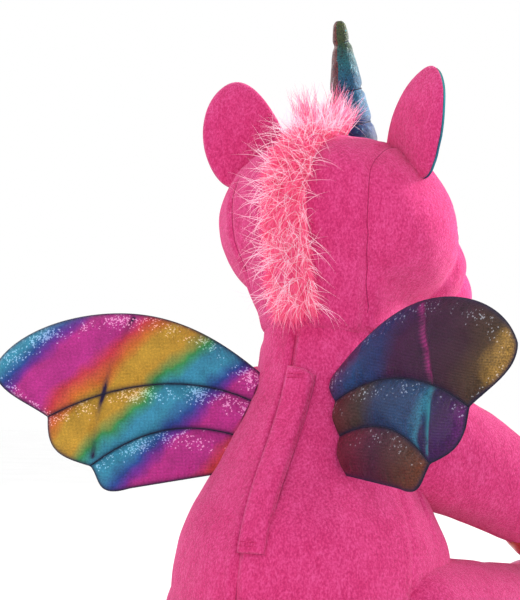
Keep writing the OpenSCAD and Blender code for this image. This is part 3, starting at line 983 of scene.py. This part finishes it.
def head():
    """Makes the head's pieces, and returns a tree of its surface for rays to hit."""
    obj = soft_union("head", head_parts(), 1.6, 5)
    lumps(obj, 1.3, 34, seed=5)
    lumps(obj, 0.4, 11, seed=12)
    head_seams(obj)
    co = points_of(obj)
    faces = [tuple(p.vertices) for p in obj.data.polygons]
    middle = np.array([co[list(f)].mean(axis=0) for f in faces])
    behind = middle[:, 1] > SEAM_Y
    wide = np.abs(middle[:, 0]) > gusset_at(middle[:, 2])
    snout = (muzzle_depth(middle, 1.2) < 1) & (skull_depth(middle) > 1)
    regions = {
        "head_back": (behind & ~wide, ["head_back_panel", "neck_band", "neck_stuffing", "head_stuffing"]),
        "head_side_l": (behind & wide & (middle[:, 0] > 0), ["head_side_left"]),
        "head_side_r": (behind & wide & (middle[:, 0] < 0), ["head_side_right"]),
        "face": (~behind & ~snout, ["face_panel"]),
        "muzzle": (~behind & snout, ["muzzle_cover", "muzzle_stuffing"])}
    for name, (mask, nodes) in regions.items():
        part = submesh(name, co, [f for f, m in zip(faces, mask) if m])
        paint = MUZZLE_PINK if name == "muzzle" else PINK
        finish_piece(part, name + "_plush", NECK_TO_HEAD, paint, nodes)
    tree = BVHTree.FromPolygons((co * MM).tolist(), faces)
    bpy.data.objects.remove(obj)
    return tree


def cast(tree, origin, direction):
    """Where a ray from inside the head comes out, in millimetres, and the outward direction there."""
    hit, normal, _, _ = tree.ray_cast(Vector(vec(*origin) * MM), Vector(unit(direction)))
    if hit is None:
        return None
    normal = vec(*normal)
    if normal @ vec(*direction) < 0:
        normal = -normal
    return vec(*hit) / MM, normal


def seam_point(tree, origin, direction):
    """A list with the point where a seam's thread shows, or an empty one where the ray misses."""
    hit = cast(tree, origin, direction)
    return [hit[0] - hit[1] * 0.05] if hit else []


def seam_threads(tree):
    """The sewn lines that show: head panels and back seam."""
    for tag, side in (("l", 1), ("r", -1)):
        path = []
        for z in np.linspace(203, 276, 74):
            path += seam_point(tree, (side * gusset_at(z), -47, z), (0, 1, 0))
        for y in np.linspace(path[-1][1] - 1.5, SEAM_Y, 24):
            path += seam_point(tree, (side * gusset_at(280), y, 250), (0, 0, 1))
        line = make("head_seam_" + tag, *tube(path, 0.24, 6))
        finish_piece(line, "head_seam_" + tag, NECK_TO_HEAD, SEAM_PINK)
    for tag, low, high in (("low", 6, STRIP_H[0]), ("high", STRIP_H[1], 188)):
        path = [on_back(0, h, -0.9) for h in np.linspace(low, high, 60)]
        line = make("back_seam_" + tag, *tube(path, 0.24, 6))
        finish_piece(line, "back_seam_" + tag, BODY_TO_NECK, SEAM_PINK)


# ---------- fur ----------
MANE_START, MANE_STOP = 74, -46     # round the head, in degrees up from straight back
TAIL_MIDDLE = vec(0, 38, -9.5)      # from the tail's joint to the middle of its oval
TAIL_DROOP = vec(0, 0.3, -0.1)
TUFTS = (                           # x, y, direction, length and number of strands
    (7, -24, (0.15, 0.1, 1), 29, 150), (0, -35, (-0.05, -0.45, 0.9), 31, 200),
    (-6, -32, (-0.3, -0.35, 0.9), 22, 130), (3, -28, (0, -0.2, 1), 19, 220))


def strand(rng, root, direction, droop, length, radius, wave, steps=4):
    """One curved, tapering tuft of hairs."""
    path, p, d = [], vec(*root), unit(direction)
    swirl = jitter(rng, 1, 1, 1)
    for i in range(steps + 1):
        path.append(p.copy())
        t = i / steps
        d = unit(d + droop * (0.35 + t) / steps + swirl * wave / steps)
        p = p + d * length / steps
    return tube(path, radius, 3, taper=lambda t: max(0.08, 1 - t ** 1.5))


def jitter(rng, x, y, z):
    """A random vector, with its usual size along each axis."""
    return vec(rng.gauss(0, x), rng.gauss(0, y), rng.gauss(0, z))


def clump(point, size):
    """A soft vector that sends neighbouring hairs the same way, over a size in millimetres."""
    return vec(*(noise.noise(Vector(point) / size + Vector((k, k, k))) for k in (13.7, 41.3, 77.9)))


def fur_object(name, body, strands, weights, rng):
    """All strands of a tuft as one mesh, each in one of the fur colours."""
    obj = make(name, *merged(strands))
    colour = rng.choices(range(len(FUR)), weights, k=len(strands))
    for m in FUR:
        obj.data.materials.append(m)
    index = np.repeat(colour, [len(f) for _, f in strands]).astype(np.int32)
    obj.data.polygons.foreach_set("material_index", index[:len(obj.data.polygons)])
    tie(obj, body)
    return obj


def loose_hairs(name, body, hairs):
    """Single long hairs as one mesh, all of them pale."""
    obj = make(name, *merged(hairs))
    obj.data.materials.append(FUR[-1])
    tie(obj, body)


def mane_cast(tree, x, a):
    """Where the mane's strip lies, x across and a radians up from straight back."""
    return cast(tree, (x, -40, 246), (0, math.cos(a), math.sin(a)))


def mane_base(tree):
    """The furry strip that the hairs grow from."""
    rows, cols, half = 90, 15, 13
    verts = []
    for i in range(rows):
        a = math.radians(MANE_START + (MANE_STOP - MANE_START) * i / (rows - 1))
        for j in range(cols):
            x = -half + 2 * half * j / (cols - 1)
            p, n = mane_cast(tree, x, a)
            edge = 1 - (abs(x) / half) ** 4
            end = min(1, i / 6, (rows - 1 - i) / 14)
            lift = -0.8 + (5.0 * edge * end) * (1 + 0.35 * noise.noise(Vector(p) / 5))
            verts.append(p + n * lift)
    return make("mane_pile", verts, grid_faces(rows, cols, wrap=False))


def mane(tree):
    """The strip of fur from the forehead down the back of the neck, with stray hairs."""
    finish_piece(mane_base(tree), "mane_pile", NECK_TO_HEAD, FUR_BASE, ["mane_backing"])
    rng = random.Random(21)
    strands, strays = [], []
    for _ in range(5200):
        a = math.radians(rng.uniform(MANE_START, MANE_STOP))
        x = rng.uniform(-1, 1) * 12.5
        hit = mane_cast(tree, x, a)
        if hit is None or hit[0][2] < 203:
            continue
        p, n = hit
        flow = vec(0, math.sin(a), -math.cos(a))
        lean = n * 0.85 + flow * 0.85 + vec(x / 15 * 0.2, 0, 0) + clump(p, 7.0)
        lean += jitter(rng, 0.16, 0.16, 0.16)
        length = rng.uniform(9.5, 14.5) * (1 - 0.25 * (abs(x) / 12.5) ** 2)
        droop = flow * 0.7 + vec(0, 0, -0.45)
        strands.append(strand(rng, p + n * 0.5, lean, droop, length, rng.uniform(0.20, 0.34), 0.5))
    for _ in range(650):
        a = math.radians(rng.uniform(MANE_START, MANE_STOP))
        x = rng.uniform(-1, 1) * 13
        hit = mane_cast(tree, x, a)
        if hit is None or hit[0][2] < 205:
            continue
        p, n = hit
        lean = n + vec(x / 15 * 0.9, 0, -0.1) + jitter(rng, 0.5, 0.3, 0.5)
        strays.append(strand(rng, p + n * 3, lean, vec(0, 0, -0.9), rng.uniform(14, 26), 0.15, 0.9, steps=6))
    loose_hairs("mane_stray_hairs", NECK_TO_HEAD, strays)
    obj = fur_object("mane_strands", NECK_TO_HEAD, strands, (0.34, 0.46, 0.17, 0.03), rng)
    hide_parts("mane_fur")


def crown_cast(tree, x, y):
    """The top of the head under a point x, y."""
    return vec(*tree.ray_cast(Vector(vec(x, y, 340) * MM), Vector((0, 0, -1)))[0]) / MM


def forelock(tree):
    """Pointed tufts at the front of the mane, with long pale hairs over the horn's foot."""
    rng = random.Random(33)
    strands, hairs = [], []
    for x0, y0, lean0, reach, count in TUFTS:
        for _ in range(count):
            x, y = x0 + rng.gauss(0, 2.6), y0 + rng.gauss(0, 2.6)
            gather = vec(x0 - x, y0 - y, 0) * 0.05
            lean = vec(*lean0) + vec(rng.gauss(0, 0.12), rng.gauss(0, 0.12), 0) - gather * 0.5
            length, radius = reach * rng.uniform(0.55, 1.05), rng.uniform(0.2, 0.32)
            strands.append(strand(rng, crown_cast(tree, x, y), lean, gather * 2.2, length, radius, 0.25))
    fur_object("forelock_strands", "head", strands, (0.08, 0.34, 0.38, 0.20), rng)
    for _ in range(46):
        x, y = rng.gauss(-3, 4), rng.gauss(-32, 4)
        lean = vec(rng.gauss(-0.35, 0.35), rng.gauss(-0.5, 0.35), 1.0)
        root = crown_cast(tree, x, y) + vec(0, 0, 3)
        hairs.append(strand(rng, root, lean, vec(0, -0.3, -0.3), rng.uniform(18, 30), 0.16, 0.4, steps=6))
    loose_hairs("forelock_hairs", "head", hairs)


def tail():
    """A thick pointed tail of fur that lies on the ground behind."""
    root = joint_at("tail_swing")
    rng = random.Random(45)
    half = vec(13.5, 36, 10.5)
    core, faces = oval(half, 48)
    base = make("tail_pile", core @ turn("X", -6).T + root + TAIL_MIDDLE, faces)
    lumps(base, 1.6, 9, seed=4)
    finish_piece(base, "tail_pile", "tail", FUR_BASE, ["tail_fur"])
    strands = []
    for _ in range(3600):
        t, a = rng.uniform(-0.95, 0.98), rng.uniform(0, 2 * math.pi)
        ring = math.sqrt(1 - t * t)
        ball = vec(ring * math.cos(a), t, ring * math.sin(a))
        n = unit(ball / half)
        p = turn("X", -6) @ (ball * half) + root + TAIL_MIDDLE
        lean = n * 0.7 + vec(0, 1.0, 0) + clump(p, 8.0) * 0.7
        length, radius = rng.uniform(8, 15), rng.uniform(0.2, 0.34)
        points, sides = strand(rng, p - n * 0.5, lean, TAIL_DROOP, length, radius, 0.5)
        points[:, 2] = np.maximum(points[:, 2], 0.4)
        strands.append((points, sides))
    for _ in range(600):
        a = rng.uniform(0, 2 * math.pi)
        n = vec(math.cos(a), 0, math.sin(a))
        lean = n * 0.6 + vec(rng.gauss(0, 0.15), 1.0, rng.gauss(0, 0.15))
        foot = root + n * 4.8 + vec(0, rng.uniform(-0.5, 10), 0)
        strands.append(strand(rng, foot, lean, TAIL_DROOP, rng.uniform(7, 11), rng.uniform(0.2, 0.34), 0.5))
    fur_object("tail_strands", "tail", strands, (0.18, 0.38, 0.30, 0.14), rng)


# ---------- horn ----------
HORN_R, HORN_L = 13.5, 67.0
HORN_TIP_R = 2.9
HORN_FOOT = 9                      # how far its rounded foot reaches below the joint
HORN_RINGS = (8.0, 27.0, 54.0)     # heights of the threads wound round it
RING_TILT = 1.2
HORN_LEAN = turn("X", -13)


def horn_radius(z):
    return HORN_R + (HORN_TIP_R - HORN_R) * max(z, 0) / (HORN_L - 3)


def horn_skin_radius(z, a):
    """Radius of the cloth at a height and angle: rounded at both ends, pulled in by the threads."""
    r = horn_radius(z)
    if z < 0:
        r = math.sqrt(max(HORN_R ** 2 - z * z, 1))
    if z > HORN_L - 3.2:
        r *= math.sqrt(max(0.02, 1 - ((z - HORN_L + 3.2) / 3.3) ** 2))
    near = min(abs(z + RING_TILT * math.cos(a) - ring) for ring in HORN_RINGS)
    return r + 0.7 - 1.3 * bell(near, 1.9) * min(1.0, r / 6)


def horn():
    rows, cols = 150, 96
    verts = []
    for i in range(rows + 1):
        z = -HORN_FOOT + (HORN_L + HORN_FOOT) * i / rows
        for j in range(cols):
            a = 2 * math.pi * j / cols
            r = horn_skin_radius(z, a)
            verts.append(HORN_LEAN @ vec(r * math.cos(a), r * math.sin(a), z) + HORN_AT)
    cover = make("horn_cloth", verts, capped_faces(rows + 1, cols))
    lumps(cover, 0.35, 6, seed=8)
    own = (points_of(cover) - HORN_AT) @ HORN_LEAN
    warm_side = own @ unit(vec(0.857, 0.515, 0)) / np.maximum(np.hypot(own[:, 0], own[:, 1]), 1)
    write_vectors(cover, "plane", (warm_side, own[:, 1], own[:, 2]))
    finish_piece(cover, "horn_cloth", "horn", horn_paint(),
                 ["horn_cover", "horn_stuffing"])
    loops = []
    for ring in HORN_RINGS:
        r = horn_radius(ring) - 0.75
        loop = [vec(r * math.cos(a), r * math.sin(a), ring - RING_TILT * math.cos(a))
                for a in np.linspace(0, 2 * math.pi, 61)]
        loops.append(tube(np.array(loop) @ HORN_LEAN.T + HORN_AT, 0.4, 7))
    thread = make("horn_winding", *merged(loops))
    finish_piece(thread, "horn_winding", "horn", DARK_THREAD, ["horn_thread"])


# ---------- ears ----------
EAR_L = 50.0
EAR_TURN = turn("Z", 27.7) @ turn("Y", 31) @ turn("X", 100)
EAR_CUP_R = 80                  # radius of the hollow sphere that the ear is part of


def ear_outline():
    run = joined(bezier([(-21, -8), (-26, 0.55 * EAR_L), (-23, EAR_L), (-9, EAR_L)], 20),
                 bezier([(-9, EAR_L), (7, EAR_L), (24, 0.6 * EAR_L), (23.5, 8)], 26),
                 bezier([(23.5, 8), (23, -1), (19, -5), (12, -8)], 10))
    return spread_evenly(run, 72)


def ear_place(points, side):
    out = np.asarray(points) @ EAR_TURN.T + joint_at("ear_left_fold")
    return out if side > 0 else mirrored(out)


def ear_leaf(name, side, inset, back, front, puff):
    """A cupped leaf between two offsets from the ear's hollow sphere, rounded at its rim."""
    rim = ear_outline()
    centre = vec(-3, 0.4 * EAR_L)
    middle = (back + front) / 2
    rings, count = 22, len(rim)
    verts = []
    for face_side, bulge in ((back, -0.4 * puff), (front, puff)):
        for i in range(rings + 1):
            t = i / rings
            for q in rim:
                away = q - centre
                p = centre + away * (1 - inset / np.linalg.norm(away)) * t
                cup = EAR_CUP_R - math.sqrt(EAR_CUP_R ** 2 - p[0] ** 2 - (p[1] - EAR_L / 2) ** 2)
                lift = middle + (face_side - middle) * math.sqrt(1 - t ** 8) + bulge * (1 - t ** 2)
                ripple = 0.35 * noise.noise(Vector((p[0] / 9, p[1] / 9, side)))
                verts.append((p[0], p[1], cup + lift + ripple))
    n = (rings + 1) * count
    faces = grid_faces(rings + 1, count)
    faces = faces + [tuple(i + n for i in f)[::-1] for f in faces]
    last = rings * count
    for j in range(count):
        k = (j + 1) % count
        faces.append((last + j, last + k, n + last + k, n + last + j))
    return sealed(make(name, ear_place(verts, side), faces), weld=1e-6)


def ears():
    for tag, side in (("left", 1), ("right", -1)):
        body = "ear_" + tag
        outer = ear_leaf(body + "_plush", side, 0.0, -0.4, 3.0, 0.4)
        finish_piece(outer, body + "_plush", body, PINK, [body + "_outer"])
        lining = ear_leaf(body + "_foil", side, 0.3, 2.5, 4.1, 0.6)
        finish_piece(lining, body + "_foil", body, EAR_FOIL, [body + "_lining"])


# ---------- face ----------
NOSTRIL_STITCHES = 9
MOUTH_STITCHES = 22
MOUTH_R = 20.5


def eye_frame():
    """Where the left eye sits on the skull's oval, and its outward direction."""
    a = math.radians(46)
    ray = HEAD_TURN.T @ vec(math.sin(a), -math.cos(a), -0.04)
    local = ray / np.linalg.norm(ray / HEAD_SIZE)
    return HEAD_AT + HEAD_TURN @ local, unit(HEAD_TURN @ (local / HEAD_SIZE ** 2))


def eyes():
    """Domes with a ring of glitter, each on a shank that goes into the head."""
    at, normal = eye_frame()
    place = stand(normal)
    paints = [black_gloss(), eye_paint()]
    dome = [(11 * math.cos(t), 6.2 * math.sin(t)) for t in np.linspace(0.02, math.pi / 2 - 0.03, 34)]
    verts, faces = revolve([(2.4, -14), (2.4, -1.2), (9.6, -1.2), (10.8, -0.6), *dome], 64)
    middle = np.array([np.mean([verts[i] for i in f], axis=0) for f in faces])
    radius = np.hypot(middle[:, 0], middle[:, 1])
    glitter_ring = (radius > 5.0) & (radius < 9.4) & (middle[:, 2] > 0.5)
    for tag, side in (("left", 1), ("right", -1)):
        name = "eye_%s_dome" % tag
        obj = make(name, (verts @ place.T + at) * vec(side, 1, 1), faced(faces, side))
        finish_piece(obj, name, "head", paints, ["eye_" + tag])
        obj.data.polygons.foreach_set("material_index", glitter_ring.astype(np.int32))


def on_muzzle(x, z, lift=0.6):
    """A point on the front of the muzzle."""
    u, w = x / MUZZLE_SIZE[0], (z - MUZZLE_AT[2]) / MUZZLE_SIZE[2]
    y = -math.sqrt(max(1 - u * u - w * w, 0.01)) * MUZZLE_SIZE[1]
    n = unit([u / MUZZLE_SIZE[0], y / MUZZLE_SIZE[1] ** 2, w / MUZZLE_SIZE[2]])
    return vec(x, y + MUZZLE_AT[1], z) + n * lift


def face_stitching():
    """Satin-stitched nostrils and a row of long stitches for the mouth."""
    parts = []
    for side in (-1, 1):
        for i in range(NOSTRIL_STITCHES):
            s = -1 + 2 * (i + 0.5) / NOSTRIL_STITCHES
            half = 3.4 * math.sqrt(1 - s * s)
            x = side * 15 + 4.2 * s
            path = [on_muzzle(x + 0.25 * half * k, 229 + half * k, 0.2 + 1.1 * (1 - k ** 2))
                    for k in np.linspace(-1, 1, 7)]
            parts.append(tube(path, 0.42, 6))
    nostrils = make("nostril_thread", *merged(parts))
    finish_piece(nostrils, "nostril_thread", "head", DARK_THREAD, ["nostril_stitches"])
    parts = []
    for i in range(MOUTH_STITCHES):
        path = []
        for k in range(5):
            a = math.radians(205 + 130 * (i + 0.05 + k / 4) / MOUTH_STITCHES)
            x, z = MOUTH_R * math.cos(a), 223 + MOUTH_R * math.sin(a)
            path.append(on_muzzle(x, z, 0.3 + 0.5 * math.sin(math.pi * k / 4)))
        parts.append(tube(path, 0.5, 6))
    mouth = make("mouth_thread", *merged(parts))
    finish_piece(mouth, "mouth_thread", "head", DARK_THREAD, ["mouth_stitch"])


# ---------- wings ----------
WING_ROOT = joint_at("wing_left_flap")
WING_TURN = {1: turn("Z", 24) @ turn("X", 102), -1: turn("Z", 26) @ turn("X", 102) @ turn("Z", 4)}
# a wing's outline, its two seams and its crease, as span and height from the root
TIP_RUN = joined(bezier([(-6, -4), (22, 20), (47, 31), (75, 31)], 30),
                 bezier([(75, 31), (104, 31), (133, 20), (143, 2)], 30),
                 bezier([(143, 2), (145, -12), (125, -18), (112, -27)], 16))
MIDDLE_RUN = bezier([(112, -27), (112, -46), (105, -49), (87, -54)], 16)
LOW_RUN = joined(bezier([(87, -54), (81, -61), (84, -72), (65, -66)], 16), [(65, -66), (18, -58)])
SEAM_HIGH = bezier([(0, -18), (32, -3), (73, -6), (112, -27)], 40)
SEAM_LOW = bezier([(8, -37), (36, -29), (60, -33), (87, -54)], 40)
CREASE = bezier([(66.5, 28), (80, 2), (84, -20), (86, -49)], 24)
WING_RIM = joined(TIP_RUN, MIDDLE_RUN, LOW_RUN)


def wing_place(points, side):
    out = np.asarray(points) @ WING_TURN[side].T + WING_ROOT
    return out if side > 0 else mirrored(out)


def wing_lobes():
    """(upper run, lower run) of each scallop, from the root to its notch."""
    return [(TIP_RUN, SEAM_HIGH), (SEAM_HIGH, joined(SEAM_LOW, MIDDLE_RUN[::-1])), (SEAM_LOW, LOW_RUN[::-1])]


def wing_cover(name, side, facing):
    """One padded cover: three puffed scallops, gathered along their seams."""
    rows, cols = 34, 110
    verts, faces, lobe, below = [], [], [], []
    for number, (upper, lower) in enumerate(wing_lobes()):
        up, low = spread_evenly(upper, cols), spread_evenly(lower, cols)
        faces += grid_faces(rows + 1, cols + 1, wrap=False, start=len(verts))
        for i in range(rows + 1):
            t = 0.5 - 0.5 * math.cos(math.pi * (i / rows))
            row = up * (1 - t) + low * t
            verts += list(row)
            lobe += [number] * len(row)
            below += list(np.linalg.norm(row - up, axis=1))
    flat, lobe, below = np.array(verts), np.array(lobe), np.array(below)
    edge = np.min([distance_to(flat, line) for line in (WING_RIM, SEAM_HIGH, SEAM_LOW)], axis=0)
    fold = distance_to(flat, CREASE)
    gather = np.array([noise.noise(Vector((x / 3.2, y / 9.0, side * 3 + facing))) for x, y in flat])
    wave = np.array([noise.noise(Vector((x / 17, y / 13, side * 5 + facing))) for x, y in flat])
    height = 0.45 + 4.6 * (1 - np.exp(-edge / 7.0))
    height += gather * 0.9 * bell(edge - 4, 3.5) + 1.1 * wave * (1 - np.exp(-edge / 6.0))
    height -= 1.9 * bell(fold, 2.6) * (1 - np.exp(-edge / 4.0))
    points = np.column_stack([flat, facing * np.maximum(height, 0.25)])
    obj = make(name, wing_place(points, side), faced(faces, -facing * side))
    # shine weights the painted glints just below each seam, fewer on the right wing.
    shine = bell(below - 5.5, 4.5) * (1.0 if side > 0 else 0.22)
    # crease weights the painted light and shade along the fold.
    crease = bell(fold, 1.3) * (np.minimum(2.6 * np.exp(-edge / 6.0), 1.6) if side > 0 else 0.9)
    # painted shade along the rim and the seams, where the foil turns navy.
    seam_shade = 0.55 * bell(edge, 1.6) + 0.3 * bell(edge, 0.7)
    write_vectors(obj, "plane", (*flat.T, shine))
    write_vectors(obj, "marks", (lobe, crease, seam_shade))
    return obj


def wing_seams(name, side):
    """The sewn edge and the two quilting seams, which show on both faces."""
    parts = []
    for run, count, level, radius, sides in (
            (WING_RIM, 220, 0, 0.35, 7),
            (SEAM_HIGH, 90, -0.55, 0.27, 6), (SEAM_HIGH, 90, 0.55, 0.27, 6),
            (SEAM_LOW, 90, -0.55, 0.27, 6), (SEAM_LOW, 90, 0.55, 0.27, 6)):
        even = spread_evenly(run, count)
        parts.append(tube(np.column_stack([even, np.full(len(even), level)]), radius, sides))
    verts, faces = merged(parts)
    return make(name, wing_place(verts, side), faces)


def wings():
    for tag, side, paint in (("left", 1, LEFT_FOIL), ("right", -1, SHADED_RIGHT_FOIL)):
        body = "wing_" + tag
        for label, facing in (("front", 1), ("back", -1)):
            cover = wing_cover("%s_%s_foil" % (body, label), side, facing)
            nodes = ["%s_%s_cover" % (body, label)]
            if facing < 0:
                nodes.append(body + "_padding")
            finish_piece(cover, cover.name, body, paint, nodes)
        seams = wing_seams(body + "_edge", side)
        finish_piece(seams, body + "_edge", body, DARK_THREAD)


# ---------- parts that keep their CAD shape ----------
def kept_nodes():
    tape, plastic = tape_paint(), washer_paint()
    paints = {"loop_tape": tape, "hook_tape": tape, "eye_washers": plastic, "tail_backing": FUR_BASE}
    for node, paint in paints.items():
        mesh = frame["nodes"][node].data
        mesh.materials.clear()
        mesh.materials.append(paint)


stage()
torso()
closure()
limbs()
HEAD_TREE = head()
seam_threads(HEAD_TREE)
mane(HEAD_TREE)
forelock(HEAD_TREE)
tail()
horn()
ears()
eyes()
face_stitching()
wings()
kept_nodes()
